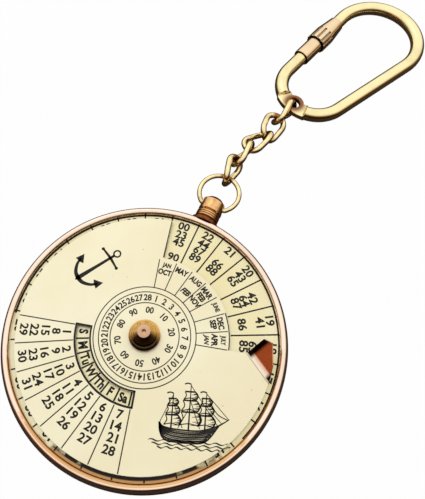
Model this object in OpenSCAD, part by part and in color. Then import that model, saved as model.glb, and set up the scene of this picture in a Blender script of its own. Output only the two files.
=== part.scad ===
// Perpetual calendar keyring: a flat case with a printed year disc, a dial that turns over it,
// a pendant with its bow, a twisted chain and a screw-lock shackle, lying on a table.
// The origin is on the dial's axis at the case back. +Z is up and +Y runs towards the pendant.

/* [Case] */
// Outside diameter of the case ring
case_d = 50; // [46:0.5:60]
// Height of the case ring's crown above the table
case_h = 4.95; // [4.6:0.05:6]
// Height of the case ring's foot above the table
ring_foot = 0.5; // [0.3:0.05:0.8]
// Width of the rounded outer side of the crown
crown_w = 0.9; // [0.4:0.05:0.9]
// Drop of the rounded outer side, from the crown to the widest place
crown_drop = 2; // [0.5:0.1:2.4]
// Width of the ring's lip, from the outside to the clear opening
lip_w = 1.6; // [1.6:0.05:2.2]
// Width of the rounded inner side of the crown
lip_round_w = 0.65; // [0.3:0.05:0.65]
// Drop of the rounded inner side, from the crown to the lip's edge
lip_drop = 0.6; // [0.2:0.05:0.65]
// Wall of the ring's skirt around the pan
skirt_wall = 0.4; // [0.3:0.05:0.6]
// Floor thickness of the pan
pan_floor = 0.8; // [0.5:0.05:1.2]
// Wall thickness of the pan
pan_wall = 2.2; // [1.6:0.1:3]
// Radius of the rounded edge at the pan's back
pan_edge_r = 0.5; // [0.2:0.05:0.8]

/* [Dial stack] */
// Height of the pan's ledge that carries the year disc
ledge_z = 3.3; // [3:0.05:3.5]
// Thickness of the year disc
disc_t = 0.6; // [0.4:0.05:0.8]
// How far the year disc reaches under the lip
disc_under_lip = 0.35; // [0.2:0.05:0.5]
// Thickness of the spacer washer between the two discs
spacer_t = 0.25; // [0.15:0.05:0.4]
// Diameter of the spacer washer
spacer_d = 4.4; // [3:0.1:6]
// Thickness of the turning dial
dial_t = 0.45; // [0.3:0.05:0.6]
// Open ring between the dial's edge and the lip
dial_gap = 1; // [0.4:0.05:1.5]
// Angle of the first edge of the month block, counter-clockwise from +X
month_angle = 106; // [0:1:360]
// Sectors in a full turn of the calendar
sectors = 28; // [28:28:28]
// Columns in a quarter block
columns = 7; // [7:7:7]
// Inner radius of the year window
window_in_r = 14.8; // [13:0.1:17]
// How far the year window starts past the month block's first edge, in degrees
window_lead = 2.5; // [0:0.5:6]
// Inner radius of the weekday window
weekday_in_r = 9.6; // [8.5:0.1:10.5]
// Outer radius of the weekday window
weekday_out_r = 11.9; // [11:0.1:13]
// Angle by which the finger tab is bent up
tab_bend = 35; // [10:1:60]
// Radius at which the tab's crease starts on the window's edge
tab_crease_r = 17.7; // [16:0.1:19]
// Angle from the window's edge to where the crease meets the dial's edge
tab_crease_turn = 11.5; // [6:0.5:16]
// Height of the finger tab, from its crease to its tip
tab_h = 4.9; // [3:0.1:5.5]

/* [Pivot] */
// Diameter of the pivot stud
stud_d = 1.6; // [1.2:0.1:2]
// Diameter of the stud's countersunk head
stud_head_d = 3.4; // [2.8:0.1:4.5]
// Depth of the head below the case back
stud_sunk = 0.12; // [0.05:0.01:0.2]
// Height of the head's countersink
sink_h = 0.55; // [0.3:0.05:0.6]
// Outside diameter of the support bush under the year disc
bush_d = 5; // [4:0.1:8]
// Height of the dished spring washer
spring_h = 0.3; // [0.2:0.05:0.5]
// Sheet thickness of the spring washer
spring_t = 0.16; // [0.1:0.02:0.24]
// Diameter of the spring washer
spring_d = 4.6; // [3.6:0.1:5]
// Diameter of the knob's foot
knob_d = 5.5; // [4.8:0.1:7]
// Diameter of the knob's flat top
knob_top_d = 2.2; // [1.6:0.1:3]
// Height of the knob
knob_h = 2.9; // [2.4:0.1:4]
// Depth of the stud's hole in the knob
knob_hole = 1.8; // [1.2:0.1:2.2]

/* [Pendant] */
// Height of the pendant's axis above the table
neck_z = 2.7; // [2.7:0.05:3]
// Diameter of the pendant's barrel
neck_d = 4.6; // [3.8:0.1:5]
// Length of the pendant outside the case ring
neck_l = 5.6; // [5:0.1:7]
// Diameter of the spigot in the case wall
spigot_d = 2.2; // [1.6:0.1:2.3]
// Diameter of the flared collar at the pendant's foot
collar_d = 5.3; // [4.8:0.1:5.4]
// Thickness of the flared collar
collar_t = 0.6; // [0.4:0.05:0.9]
// Width of one turned bead
bead_w = 0.42; // [0.3:0.02:0.6]
// Distance from the case ring to the cross bore
bow_bore_y = 3.8; // [3.4:0.1:4.2]
// Diameter of the flat spot around each end of the cross bore
spot_d = 2.1; // [1.8:0.1:2.3]
// Room between a flat spot and the bow's bend
spot_gap = 0.07; // [0.04:0.01:0.1]

/* [Bow] */
// Wire diameter of the bow
bow_wire = 0.9; // [0.7:0.05:1.2]
// Radius of the bow's round, at the wire's middle
bow_r = 3.9; // [3.8:0.1:4.4]
// Length of the bow from its pins to the wire's middle at the round end
bow_l = 7; // [6.4:0.1:7.1]
// Radius of the bends at the bow's pins
bow_bend_r = 0.6; // [0.5:0.05:0.7]
// Length of the straight wire between a pin's bend and the round
bow_leg = 0.4; // [0.3:0.05:0.6]
// Half of the gap between the ends of the two pins
pin_half_gap = 0.7; // [0.3:0.1:1.2]

/* [Chain] */
// Wire diameter of a chain link
link_wire = 1.2; // [0.9:0.05:1.4]
// Length of a link, at the wire's middle
link_l = 6; // [5:0.1:7.2]
// Radius of a link's ends, at the wire's middle
link_end_r = 2; // [1.8:0.05:2.4]
// Twist of a link from one end to the other, in degrees
link_twist = 50; // [30:1:60]
// Open room between two hooked wires
hook_gap = 0.2; // [0.1:0.05:0.4]
// Heading of each link as it lies, in degrees from +Y towards +X
link_headings = [1, 14, 30, 6, 18]; // [-20:1:40]
// Rise of each link as it lies, in degrees
link_rises = [2, 1, 1, 1, 2]; // [-5:1:5]
// Roll of each link's near end as it lies, in degrees from level
link_rolls = [85, 45, 5, -60, 57]; // [-90:1:90]

/* [Shackle] */
// Rod diameter of the shackle
rod_d = 2.9; // [2.4:0.05:3.2]
// Radius of the shackle's end at the eye, at the rod's middle
eye_end_r = 7.1; // [6.5:0.1:9]
// Radius of the shackle's far end, at the rod's middle
far_end_r = 9.2; // [7:0.1:11]
// Distance between the centres of the two ends
end_span = 20.2; // [19:0.1:30]
// Heading of the shackle as it lies, in degrees from +Y towards +X
shackle_heading = 22.2; // [-10:0.2:60]
// Dip of the shackle towards its far end as it lies, in degrees
shackle_dip = 0.9; // [0:0.1:2]
// Thickness of the flattened eye
eye_t = 1.4; // [1:0.05:1.8]
// How much the flattened eye spreads past the rod on each side
eye_spread = 0.15; // [0.05:0.05:0.4]
// Diameter of the hole in the eye
eye_hole_d = 2.4; // [2.2:0.05:2.8]
// Wall around the hole in the eye
eye_wall = 0.8; // [0.6:0.05:1.2]
// Distance from the end's centre to the hole in the eye
eye_hole_r = 6.55; // [6:0.05:7.5]
// Half of the angle that the flattened eye takes up
eye_half_angle = 23; // [18:1:30]

/* [Lock] */
// Start of the sleeve along the lock's leg
sleeve_start = 4.5; // [3:0.1:5]
// Length of the sleeve
sleeve_l = 5.2; // [4:0.1:6]
// Diameter of the sleeve
sleeve_d = 3.65; // [3.5:0.05:4.2]
// Length of the short arm inside the closed sleeve
sleeve_hold = 1; // [0.6:0.1:1.4]
// Travel of the sleeve and nut when the lock is opened
lock_travel = 3; // [2.4:0.1:3.2]
// Room between the sleeve and the nut
lock_gap = 0.1; // [0.05:0.01:0.2]
// Diameter of the nut's fluted ring
nut_d = 4.6; // [4:0.1:4.6]
// Length of the nut's fluted ring
flute_l = 3.4; // [2.5:0.1:4]
// Number of flutes around the nut
flutes = 12; // [8:1:16]
// Diameter of the cutter that makes a flute
flute_d = 0.5; // [0.3:0.05:0.7]
// Length of the nut's taper
taper_l = 4.5; // [3:0.1:4.8]
// Wall of the nut at the small end of its taper
taper_wall = 0.2; // [0.15:0.05:0.5]

/* [Fits] */
// Radial clearance of a running fit
running = 0.05; // [0.02:0.01:0.1]
// Room above and below the turning dial
turn_gap = 0.03; // [0.02:0.01:0.06]
// Radial clearance of a fixed fit
fixed = 0.02; // [0.01:0.01:0.05]

/* [Hidden] */
$fn = 64;
edge_steps = 8;
over = 1;
case_r = case_d / 2;
lip_r = case_r - lip_w;
pan_r = case_r - skirt_wall - fixed;
disc_r = lip_r + disc_under_lip;
disc_top = ledge_z + disc_t;
dial_z = disc_top + spacer_t + turn_gap;
dial_top = dial_z + dial_t;
dial_r = lip_r - dial_gap;
knob_z = dial_top + spring_h;
stud_r = stud_d / 2;
lip_z = disc_top + fixed;
sector = 360 / sectors;
block = columns * sector;
window_end = month_angle - block;

neck_r = neck_d / 2;
spigot_l = case_r - disc_r - 2 * fixed;
bow_y = case_r + bow_bore_y;
bow_far = [0, bow_y + bow_l, neck_z];
bow_round_y = bow_l - bow_r;
bow_span = [bow_r - bow_bend_r, bow_leg];
bow_turn = atan2(bow_span.y, bow_span.x) + acos((bow_round_y - bow_bend_r) / norm(bow_span));
bow_bend_x = bow_span.x * sin(bow_turn) - bow_span.y * cos(bow_turn);
spot_x = min(neck_r, bow_bend_x - spot_gap);

link_count = len(link_headings);
link_steps = 44;
link_sides = 10;

rod_r = rod_d / 2;
taper = asin((far_end_r - eye_end_r) / end_span);
leg_l = end_span * cos(taper);
leg_foot = eye_end_r * [-sin(taper), cos(taper)];
short_arm_end = sleeve_start + sleeve_hold;
nut_start = sleeve_start + sleeve_l + lock_gap;
long_arm_end = nut_start - lock_gap - sleeve_hold;
lock_bore_d = rod_d + 2 * running;
lap = 0.2;
lap_step = 0.01;

// A vector made one unit long
function unit(v) = v / norm(v);

// A link's long axis, its level side and its upward side, as it lies
function link_axis(i) =
    let (h = link_headings[i], e = link_rises[i])
    [sin(h) * cos(e), cos(h) * cos(e), sin(e)];
function link_side(i) = unit(cross(link_axis(i), [0, 0, 1]));
function link_up(i) = cross(link_side(i), link_axis(i));

// The direction across a link at a distance from its middle: it turns with the twist
function link_across(i, along) =
    let (turn = link_rolls[i] + link_twist * (along / link_l + 0.5))
    cos(turn) * link_side(i) + sin(turn) * link_up(i);

// What a link hooks into: the middle, direction and diameter of its parent's wire
function hook_point(i) = i == 0 ? bow_far : link_near(i - 1) + link_l * link_axis(i - 1);
function hook_line(i) = i == 0 ? [1, 0, 0] : link_across(i - 1, link_l / 2);
function hook_wire(i) = i == 0 ? bow_wire : link_wire;

// The way from a link's near end to its parent's wire, square to both wires
function hook_way(i) =
    let (way = unit(cross(hook_line(i), link_across(i, -link_l / 2))))
    way * link_axis(i) > 0 ? way : -way;
function link_near(i) =
    hook_point(i) - hook_way(i) * ((hook_wire(i) + link_wire) / 2 + hook_gap);

// The hole in the eye lies round the far wire of the last link
shackle_way = [
    sin(shackle_heading) * cos(shackle_dip),
    cos(shackle_heading) * cos(shackle_dip),
    -sin(shackle_dip)
];
end_at = hook_point(link_count) + eye_hole_r * shackle_way;

// A point on a flat oval link at a distance round it: along, across, and the outward direction
oval_straight = link_l - 2 * link_end_r;
oval_round = PI * link_end_r;
oval_length = 2 * (oval_straight + oval_round);
function oval(d) =
    d < oval_straight ? [d - oval_straight / 2, link_end_r, 0, 1] :
    d < oval_straight + oval_round ?
        let (a = (d - oval_straight) / oval_round * 180)
        [oval_straight / 2 + link_end_r * sin(a), link_end_r * cos(a), sin(a), cos(a)] :
    let (half = oval(d - oval_straight - oval_round)) -half;

// The twisted oval in space, and its ring of points at one step
function link_point(i, d) =
    let (o = oval(d % oval_length))
    link_near(i) + (o[0] + link_l / 2) * link_axis(i) + o[1] * link_across(i, o[0]);
function link_ring(i, k) =
    let (
        step = oval_length / link_steps,
        d = k * step,
        o = oval(d),
        ahead = unit(link_point(i, d + step / 4) - link_point(i, d + oval_length - step / 4)),
        out = o[2] * link_axis(i) + o[3] * link_across(i, o[0]),
        beside = unit(cross(ahead, out)),
        outward = cross(beside, ahead)
    )
    [for (s = [0 : link_sides - 1])
        link_point(i, d) + link_wire / 2 *
            (cos(360 * s / link_sides) * outward + sin(360 * s / link_sides) * beside)];

// The case pan: a turned cup with a ledge for the year disc and a countersunk centre hole
module case_pan() {
    color("#b9743f")
    difference() {
        rotate_extrude()
        difference() {
            union() {
                translate([0, pan_edge_r]) square([pan_r, disc_top - pan_edge_r]);
                square([pan_r - pan_edge_r, disc_top]);
                translate([pan_r - pan_edge_r, pan_edge_r]) circle(pan_edge_r);
            }
            translate([0, pan_floor]) square([pan_r - pan_wall, case_h]);
            translate([0, ledge_z]) square([disc_r + fixed, case_h]);
        }
        stud_hole(pan_floor);
        spigot_hole();
    }
}

// The countersunk hole of the pivot stud through the case back
module stud_hole(depth) {
    translate([0, 0, -over]) cylinder(r = stud_r + fixed, h = depth + 2 * over);
    translate([0, 0, stud_sunk])
        cylinder(r1 = stud_head_d / 2 + fixed, r2 = stud_r + fixed, h = sink_h);
    translate([0, 0, -over]) cylinder(d = stud_head_d + 2 * fixed, h = over + stud_sunk);
}

// The blind hole of the pendant's spigot in the case wall
module spigot_hole() {
    translate([0, case_r - spigot_l - fixed, neck_z])
        rotate([-90, 0, 0]) cylinder(d = spigot_d + 2 * fixed, h = spigot_l + over);
}

// Points of a round or oval edge, from one angle to another
function round_edge(centre, radii, from, to) = [
    for (k = [0 : edge_steps])
        let (a = from + (to - from) * k / edge_steps)
        centre + [radii.x * cos(a), radii.y * sin(a)]
];

// Points of the crown's outer side, grown by a gap, from its top to its widest place
function crown_side(gap) =
    round_edge([case_r - crown_w, case_h - crown_drop], [crown_w + gap, crown_drop + gap], 90, 0);

// The case ring: a turned skirt around the pan, with the rounded crown and lip
module bezel_ring() {
    skirt_in = pan_r + fixed;
    color("#e2bd92")
    difference() {
        rotate_extrude($fn = 128)
        polygon(concat(
            [[lip_r, lip_z]],
            round_edge([lip_r + lip_round_w, case_h - lip_drop], [lip_round_w, lip_drop], 180, 90),
            crown_side(0),
            [[case_r, ring_foot], [skirt_in, ring_foot], [skirt_in, lip_z]]
        ));
        spigot_hole();
    }
}

// The printed year disc that lies on the pan's ledge under the lip
module year_disc() {
    color("#f3ecc6")
    translate([0, 0, ledge_z])
    difference() {
        cylinder(r = disc_r, h = disc_t, $fn = 128);
        translate([0, 0, -over]) cylinder(r = stud_r + fixed, h = disc_t + 2 * over);
    }
}

// The turned bush that holds the middle of the year disc up from the case back
module support_bush() {
    color("#c79a52")
    translate([0, 0, pan_floor])
    difference() {
        cylinder(d = bush_d, h = ledge_z - pan_floor);
        translate([0, 0, -over])
            cylinder(r = stud_r + fixed, h = ledge_z - pan_floor + 2 * over);
    }
}

// The pivot stud: a countersunk screw from the back, up through the whole stack into the knob
module pivot_stud() {
    stud_top = knob_z + knob_hole;
    color("#c79a52") {
        translate([0, 0, stud_sunk]) cylinder(r1 = stud_head_d / 2, r2 = stud_r, h = sink_h);
        translate([0, 0, stud_sunk]) cylinder(r = stud_r, h = stud_top - stud_sunk);
    }
}

// The flat spacer washer on which the dial turns
module spacer_washer() {
    color("#caa15a")
    translate([0, 0, disc_top])
    difference() {
        cylinder(d = spacer_d, h = spacer_t);
        translate([0, 0, -over]) cylinder(r = stud_r + running, h = spacer_t + 2 * over);
    }
}

// A sector of a flat ring, from one angle to another
module ring_sector(r_in, r_out, from, to, h) {
    rotate([0, 0, from])
        rotate_extrude(angle = to - from)
            translate([r_in, 0]) square([r_out - r_in, h]);
}

// The turning dial, cut open over the year columns and the weekday row, with its bent-up tab
module calendar_dial() {
    color("#f5efca") {
        difference() {
            translate([0, 0, dial_z]) cylinder(r = dial_r, h = dial_t, $fn = 128);
            translate([0, 0, dial_z - over])
                cylinder(r = stud_r + running, h = dial_t + 2 * over);
            translate([0, 0, dial_z - over])
                ring_sector(window_in_r, dial_r + over, window_end, month_angle - window_lead,
                    dial_t + 2 * over);
            translate([0, 0, dial_z - over])
                ring_sector(weekday_in_r, weekday_out_r, month_angle + block,
                    month_angle + 2 * block, dial_t + 2 * over);
            crease_frame() translate([0, 0, -dial_t - over]) linear_extrude(dial_t + 2 * over)
                polygon([[0, 0], [0, tab_h], [crease_l + over, tab_h], [crease_l + over, 0]]);
        }
        crease_frame() rotate([tab_bend, 0, 0]) finger_tab();
    }
}

// The crease of the tab runs from the window's edge to the dial's edge
crease_from = tab_crease_r * [cos(window_end), sin(window_end)];
crease_to = dial_r * [cos(window_end - tab_crease_turn), sin(window_end - tab_crease_turn)];
crease_l = norm(crease_to - crease_from);
crease_angle = atan2(crease_to.y - crease_from.y, crease_to.x - crease_from.x);
module crease_frame() {
    translate([crease_from.x, crease_from.y, dial_top]) rotate([0, 0, crease_angle]) children();
}

// The ear-shaped finger tab, flat, with its crease along +X
module finger_tab() {
    translate([0, 0, -dial_t])
    linear_extrude(dial_t)
    polygon([
        [0, -dial_t],
        [0, tab_h * 0.84],
        [crease_l * 0.23, tab_h],
        [crease_l * 0.7, tab_h * 0.52],
        [crease_l, 0],
        [crease_l - dial_t, -dial_t]
    ]);
}

// The dished spring washer that presses the dial down under the knob
module spring_washer() {
    color("#8f6a3a")
    rotate_extrude()
    polygon([
        [stud_r + running, knob_z - spring_t],
        [stud_r + running, knob_z],
        [stud_r + running + spring_t, knob_z],
        [spring_d / 2, dial_top + turn_gap + spring_t],
        [spring_d / 2, dial_top + turn_gap],
        [spring_d / 2 - spring_t, dial_top + turn_gap]
    ]);
}

// The turned knob: a foot, two beads and a taper, with a dimple in its flat top
module pivot_knob() {
    foot_h = knob_h * 0.14;
    neck_in = knob_d * 0.06;
    shoulder_h = knob_h * 0.55;
    shoulder_r = knob_d / 2 * 0.72;
    dimple_r = knob_top_d * 0.3;
    bead_r = knob_h * 0.07;
    color("#c08a4e")
    translate([0, 0, knob_z])
    difference() {
        rotate_extrude()
        union() {
            polygon([
                [0, 0],
                [knob_d / 2, 0],
                [knob_d / 2, foot_h],
                [knob_d / 2 - neck_in, foot_h * 1.6],
                [shoulder_r + neck_in, shoulder_h * 0.85],
                [shoulder_r, shoulder_h],
                [knob_top_d / 2, knob_h],
                [0, knob_h]
            ]);
            translate([shoulder_r + neck_in / 2, shoulder_h * 0.93]) circle(bead_r);
        }
        translate([0, 0, -over]) cylinder(r = stud_r + fixed, h = knob_hole + over);
        translate([0, 0, knob_h + dimple_r * 0.6]) sphere(dimple_r);
    }
}

// Places a shape turned about +Z on the pendant's axis, from the case ring outwards
module on_neck() {
    translate([0, case_r, neck_z]) rotate([-90, 0, 0]) children();
}

// The flared collar at the pendant's foot, shaped to the round case ring
module neck_collar() {
    seat = 0.5;
    color("#6b3a1e")
    difference() {
        on_neck()
        rotate_extrude()
        polygon([
            [spigot_d / 2 + fixed, -seat],
            [collar_d / 2, -seat],
            [collar_d / 2, 0],
            [neck_r - bead_w / 2, collar_t],
            [spigot_d / 2 + fixed, collar_t]
        ]);
        rotate_extrude($fn = 128)
        polygon(concat(
            [[0, case_h + fixed]], crown_side(fixed), [[case_r + fixed, -over], [0, -over]]
        ));
    }
}

// The turned pendant: spigot, three beads, a groove, a cross-bored barrel and a domed tip
module pendant_neck() {
    beads = 3;
    foot = collar_t;
    groove = foot + beads * bead_w;
    bevel = neck_l * 0.14;
    tip_r = neck_r * 0.62;
    dome_r = tip_r * 2;
    dome_low = dome_r - sqrt(dome_r * dome_r - tip_r * tip_r);
    shoulder = neck_l - dome_low - bevel;
    color("#d2925a")
    difference() {
        on_neck()
        rotate_extrude()
        union() {
            translate([0, -spigot_l]) square([spigot_d / 2, spigot_l + foot]);
            translate([0, foot]) square([neck_r - bead_w / 2, groove - foot]);
            for (k = [0 : beads - 1])
                translate([neck_r - bead_w / 2, foot + (k + 0.5) * bead_w])
                    circle(bead_w / 2, $fn = 32);
            polygon([
                [0, groove],
                [neck_r - bead_w, groove],
                [neck_r, groove + bead_w],
                [neck_r, shoulder],
                [tip_r, shoulder + bevel],
                [0, shoulder + bevel]
            ]);
            intersection() {
                translate([0, neck_l - dome_r]) circle(dome_r);
                translate([0, shoulder + bevel]) square([tip_r, dome_low]);
            }
        }
        translate([-neck_r - over, bow_y, neck_z])
            rotate([0, 90, 0]) cylinder(d = bow_wire + 2 * running, h = neck_d + 2 * over);
        for (side = [0, 1])
            mirror([side, 0, 0])
                translate([spot_x, bow_y, neck_z]) rotate([0, 90, 0]) cylinder(d = spot_d, h = over);
    }
}

// A straight round wire or rod between two points of a level plane
module level_rod(from, to, d) {
    way = to - from;
    translate([from.x, from.y, 0])
        rotate([0, 0, atan2(way.y, way.x)])
            rotate([0, 90, 0]) cylinder(d = d, h = norm(way));
}

// A round bend of wire or rod in a level plane, from one angle to another
module level_bend(centre, r, from, to, d) {
    translate([centre.x, centre.y, 0])
        rotate([0, 0, from])
            rotate_extrude(angle = to - from) translate([r, 0]) circle(d = d);
}

// The bow: a round wire loop whose two ends are pins in the pendant's cross bore
module bow_ring() {
    bow_lap = 0.08;
    bend_d = bow_wire + 2 * lap_step;
    leg_way = [cos(bow_turn), sin(bow_turn)];
    leg_from = [bow_bend_x, bow_bend_r] + bow_bend_r * [sin(bow_turn), -cos(bow_turn)];
    color("#d9b56c")
    translate([0, bow_y, neck_z]) {
        level_bend([0, bow_round_y], bow_r, bow_turn - 90, 270 - bow_turn, bend_d);
        for (side = [0, 1])
            mirror([side, 0, 0]) {
                level_rod([pin_half_gap, 0], [bow_bend_x + bow_lap, 0], bow_wire);
                level_bend([bow_bend_x, bow_bend_r], bow_bend_r, -90, bow_turn - 90, bend_d);
                level_rod(leg_from - bow_lap * leg_way, leg_from + (bow_leg + bow_lap) * leg_way,
                    bow_wire);
            }
    }
}

// One twisted oval link of the chain, as it lies
module chain_link(i) {
    points = [for (k = [0 : link_steps - 1]) each link_ring(i, k)];
    faces = [
        for (k = [0 : link_steps - 1])
            for (s = [0 : link_sides - 1])
                let (
                    here = k * link_sides,
                    there = (k + 1) % link_steps * link_sides,
                    t = (s + 1) % link_sides
                )
                each [
                    [here + s, there + s, there + t],
                    [here + s, there + t, here + t]
                ]
    ];
    color("#c9a251") polyhedron(points, faces);
}

// Places a shape drawn round the centre of the shackle's eye end where the shackle lies
module on_shackle() {
    translate(end_at) rotate([0, shackle_dip, 90 - shackle_heading]) children();
}

// Places a shape turned about +Z on the lock's leg, from the foot of the leg outwards
module on_lock_leg() {
    on_shackle()
        translate([leg_foot.x, leg_foot.y, 0])
            rotate([0, 0, taper]) rotate([0, 90, 0]) children();
}

// The shackle: a bent rod with a flattened, drilled eye and a gap for the lock
module shackle_rod() {
    left = [cos(taper), sin(taper)];
    right = [cos(taper), -sin(taper)];
    far_centre = [end_span, 0];
    far_foot = leg_foot + leg_l * left;
    near_end = eye_end_r * [-sin(taper), -cos(taper)];
    far_end = near_end + leg_l * right;
    eye_lap = 4;
    bend_d = rod_d + 2 * lap_step;
    color("#cda956")
    on_shackle()
    difference() {
        union() {
            level_rod(leg_foot - lap * left, leg_foot + short_arm_end * left, rod_d);
            level_bend([0, 0], eye_end_r, 90 + taper, 180 - eye_half_angle, bend_d);
            flat_eye(eye_half_angle + eye_lap);
            level_bend([0, 0], eye_end_r, 180 + eye_half_angle, 270 - taper, bend_d);
            level_rod(near_end - lap * right, far_end + lap * right, rod_d);
            level_bend(far_centre, far_end_r, -90 - taper, 90 + taper, bend_d);
            level_rod(leg_foot + long_arm_end * left, far_foot + lap * left, rod_d);
        }
        translate([-eye_hole_r, 0, 0]) cylinder(d = eye_hole_d, h = 2 * rod_d, center = true);
    }
}

// The flattened eye: a round plate over a flat band a little wider than the rod
module flat_eye(half) {
    translate([0, 0, -eye_t / 2]) {
        ring_sector(eye_end_r - rod_r - eye_spread, eye_end_r + rod_r + eye_spread,
            180 - half, 180 + half, eye_t);
        translate([-eye_hole_r, 0, 0]) cylinder(d = eye_hole_d + 2 * eye_wall, h = eye_t);
    }
}

// The plain sleeve that closes over the short arm
module lock_sleeve() {
    color("#dcb878")
    on_lock_leg()
    translate([0, 0, sleeve_start])
    difference() {
        cylinder(d = sleeve_d, h = sleeve_l);
        translate([0, 0, -over]) cylinder(d = lock_bore_d, h = sleeve_l + 2 * over);
    }
}

// The thumb nut on the long arm: a fluted ring that runs into a taper
module thumb_nut() {
    small_d = lock_bore_d + 2 * taper_wall;
    flute_at = nut_d / 2 + flute_d * 0.15;
    color("#d8b46a")
    on_lock_leg()
    translate([0, 0, nut_start])
    difference() {
        union() {
            cylinder(d = nut_d, h = flute_l);
            translate([0, 0, flute_l]) cylinder(d1 = nut_d, d2 = small_d, h = taper_l);
        }
        translate([0, 0, -over]) cylinder(d = lock_bore_d, h = flute_l + taper_l + 2 * over);
        for (k = [0 : flutes - 1])
            rotate([0, 0, k * 360 / flutes])
                translate([flute_at, 0, -over]) cylinder(d = flute_d, h = flute_l + 2 * over);
    }
}

case_pan();
bezel_ring();
year_disc();
support_bush();
pivot_stud();
spacer_washer();
calendar_dial();
spring_washer();
pivot_knob();
neck_collar();
pendant_neck();
bow_ring();
chain_link(0);  // chain_link_1
chain_link(1);  // chain_link_2
chain_link(2);  // chain_link_3
chain_link(3);  // chain_link_4
chain_link(4);  // chain_link_5
shackle_rod();
lock_sleeve();
thumb_nut();
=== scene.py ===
"""A perpetual calendar keyring: a printed dial in a copper case, on a twisted brass chain with a
screw-lock shackle, lying as on clear glass over a white board. Lengths are in mm and become metres
in the meshes."""
import math

import bmesh
import bpy
from mathutils import Matrix, Vector


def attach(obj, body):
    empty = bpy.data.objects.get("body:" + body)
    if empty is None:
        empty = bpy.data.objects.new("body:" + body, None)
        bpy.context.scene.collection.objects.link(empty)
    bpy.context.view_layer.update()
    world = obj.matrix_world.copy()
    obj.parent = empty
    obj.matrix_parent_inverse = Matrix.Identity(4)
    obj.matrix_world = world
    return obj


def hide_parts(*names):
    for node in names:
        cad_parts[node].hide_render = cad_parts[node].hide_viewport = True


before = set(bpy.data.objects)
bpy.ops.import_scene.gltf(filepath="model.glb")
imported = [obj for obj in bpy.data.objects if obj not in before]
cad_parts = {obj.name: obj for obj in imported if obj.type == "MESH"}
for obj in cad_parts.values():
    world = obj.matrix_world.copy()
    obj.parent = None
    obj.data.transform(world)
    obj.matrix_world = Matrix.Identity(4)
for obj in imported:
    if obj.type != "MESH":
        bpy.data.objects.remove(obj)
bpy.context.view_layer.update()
MM = 0.001


# Case pan.
# The cup-shaped case back, spun from copper sheet. It carries the whole dial stack on its ledge,
# and only its flat back and rounded edge show.
CASE_R = 25


def srgb(code):
    """A hex colour as the linear colour that shaders take."""
    parts = [int(code[i:i + 2], 16) / 255 for i in (1, 3, 5)]
    return tuple(c / 12.92 if c <= 0.04045 else ((c + 0.055) / 1.055) ** 2.4 for c in parts) + (1.0,)


def add(tree, kind, inputs, **settings):
    """Adds a node, sets its properties, and fills its inputs with values or links.

    A node given as an input stands for its first output.
    """
    made = tree.nodes.new(f"ShaderNode{kind}")
    for key, value in settings.items():
        setattr(made, key, value)
    for key, value in inputs.items():
        if isinstance(value, bpy.types.Node):
            value = value.outputs[0]
        if isinstance(value, bpy.types.NodeSocket):
            tree.links.new(value, made.inputs[key])
        else:
            made.inputs[key].default_value = value
    return made


def new_material(name):
    """A material, with its node tree, its shader and the place on the object that patterns follow."""
    material = bpy.data.materials.new(name)
    material.use_nodes = True
    tree = material.node_tree
    place = add(tree, "TexCoord", {}).outputs["Object"]
    return material, tree, tree.nodes["Principled BSDF"], place


def tarnished_shaded_metal(name, bright, tarnish_and_shade, rough, blotch_mm, crevice_mm, marks_mm,
                  grime=0.45, open_sky=0.72, fade=0.5):
    """Bare metal with blotchy dark patches, and painted shade that darkens its corners and creases, both in
    one dark colour.

    marks_mm gives the size of the fine tool marks along X, Y and Z, for lines of any direction.
    Painted shade starts in corners where less than open_sky of the air above them is open, and is
    full where it is less by fade.
    """
    material, tree, shader, place = new_material(name)
    blotch = add(tree, "TexNoise",
                 {"Vector": place, "Scale": 1 / (blotch_mm * MM), "Detail": 5, "Roughness": 0.62})
    blotched = add(tree, "MapRange",
                   {"Value": blotch.outputs["Fac"], "From Min": 0.47, "From Max": 0.72, "To Max": grime})
    # painted shade: ambient occlusion darkens corners and creases towards the dark colour
    corner = add(tree, "AmbientOcclusion", {"Distance": crevice_mm * MM}, samples=8)
    corner_shade = add(tree, "MapRange",
                   {"Value": corner.outputs["AO"], "From Min": open_sky, "From Max": open_sky - fade,
                    "To Max": 0.95})
    dirt_and_shade = add(tree, "Math", {0: blotched, 1: corner_shade}, operation="MAXIMUM")
    colour = add(tree, "Mix", {0: dirt_and_shade, 6: srgb(bright), 7: srgb(tarnish_and_shade)}, data_type="RGBA")
    lines = add(tree, "Mapping", {"Vector": place, "Scale": [1 / (s * MM) for s in marks_mm]})
    marks = add(tree, "TexNoise", {"Vector": lines, "Scale": 1, "Detail": 3, "Roughness": 0.7})
    gloss = add(tree, "MapRange",
                {"Value": marks.outputs["Fac"], "From Min": 0.3, "From Max": 0.7,
                 "To Min": rough * 0.75, "To Max": rough * 1.35})
    dull = add(tree, "Math", {0: dirt_and_shade, 1: 0.22, 2: gloss}, operation="MULTIPLY_ADD")
    relief = add(tree, "Bump", {"Height": marks.outputs["Fac"], "Strength": 0.1, "Distance": 0.002 * MM})
    tree.links.new(colour.outputs[2], shader.inputs["Base Color"])
    tree.links.new(dull.outputs[0], shader.inputs["Roughness"])
    tree.links.new(relief.outputs[0], shader.inputs["Normal"])
    shader.inputs["Metallic"].default_value = 1
    return material


def dress(obj, material, sharp_deg=38):
    """Gives a mesh its material and smooth shading, with edges kept sharp above an angle."""
    obj.data.materials.clear()
    obj.data.materials.append(material)
    obj.data.shade_smooth()
    obj.data.set_sharp_from_angle(angle=math.radians(sharp_deg))
    return obj


# Spun copper: faint rings from the spinning tool and a warm brown film
spun_copper = tarnished_shaded_metal("spun_copper", "#d9a273", "#5a2c18", 0.26, 5, 1.5, (0.5, 0.5, 0.12))
dress(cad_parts["case_pan"], spun_copper)
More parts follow.
